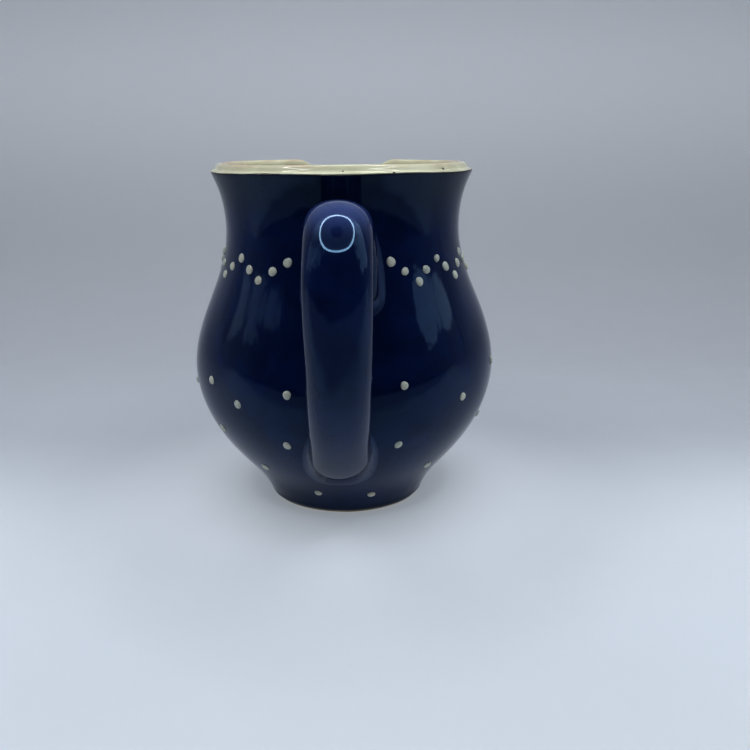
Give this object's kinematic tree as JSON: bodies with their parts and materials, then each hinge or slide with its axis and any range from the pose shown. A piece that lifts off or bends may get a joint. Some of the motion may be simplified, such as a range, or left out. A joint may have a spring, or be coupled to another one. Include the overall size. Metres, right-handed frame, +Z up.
{
  "type": "stoneware pouring mug",
  "caption": "Round-bellied glazed stoneware mug with a flared rim, a pulled pouring lip, a strap handle and raised dots.",
  "frame": {"origin": "middle of the bounding box's underside, on the surface that the foot ring stands on", "axes": "+Z up out of the mouth, +Y towards the pouring lip, -Y towards the handle, +X to the right seen from the handle's side"},
  "size_m": [0.0844, 0.1124, 0.0952],
  "materials": {
    "bare_clay": "unglazed fired stoneware, matt and slightly gritty",
    "blue_glaze": "deep cobalt blue gloss glaze",
    "cream_glaze": "ivory cream gloss glaze",
    "cream_slip": "raised cream slip dots under a thin clear glaze"
  },
  "bodies": {
    "root": {"clay_body": "bare_clay", "liner_glaze": "cream_glaze", "outer_glaze": "blue_glaze", "handle_strap": "bare_clay", "handle_glaze": "blue_glaze", "upper_luting_collar": "blue_glaze", "lower_luting_collar": "blue_glaze", "neck_dot_01": "cream_slip", "neck_dot_02": "cream_slip", "neck_dot_03": "cream_slip", "neck_dot_04": "cream_slip", "neck_dot_05": "cream_slip", "neck_dot_06": "cream_slip", "neck_dot_07": "cream_slip", "neck_dot_08": "cream_slip", "neck_dot_09": "cream_slip", "neck_dot_10": "cream_slip", "neck_dot_11": "cream_slip", "neck_dot_12": "cream_slip", "neck_dot_13": "cream_slip", "neck_dot_14": "cream_slip", "neck_dot_15": "cream_slip", "neck_dot_16": "cream_slip", "neck_dot_17": "cream_slip", "neck_dot_18": "cream_slip", "neck_dot_19": "cream_slip", "neck_dot_20": "cream_slip", "neck_dot_21": "cream_slip", "neck_dot_22": "cream_slip", "neck_dot_23": "cream_slip", "neck_dot_24": "cream_slip", "neck_dot_25": "cream_slip", "neck_dot_26": "cream_slip", "neck_dot_27": "cream_slip", "neck_dot_28": "cream_slip", "neck_dot_29": "cream_slip", "neck_dot_30": "cream_slip", "neck_dot_31": "cream_slip", "neck_dot_32": "cream_slip", "neck_dot_33": "cream_slip", "neck_dot_34": "cream_slip", "neck_dot_35": "cream_slip", "neck_dot_36": "cream_slip", "neck_dot_37": "cream_slip", "neck_dot_38": "cream_slip", "neck_dot_39": "cream_slip", "neck_dot_40": "cream_slip", "neck_dot_41": "cream_slip", "neck_dot_42": "cream_slip", "neck_dot_43": "cream_slip", "neck_dot_44": "cream_slip", "neck_dot_45": "cream_slip", "neck_dot_46": "cream_slip", "neck_dot_47": "cream_slip", "neck_dot_48": "cream_slip", "neck_dot_49": "cream_slip"}
  },
  "joints": []
}
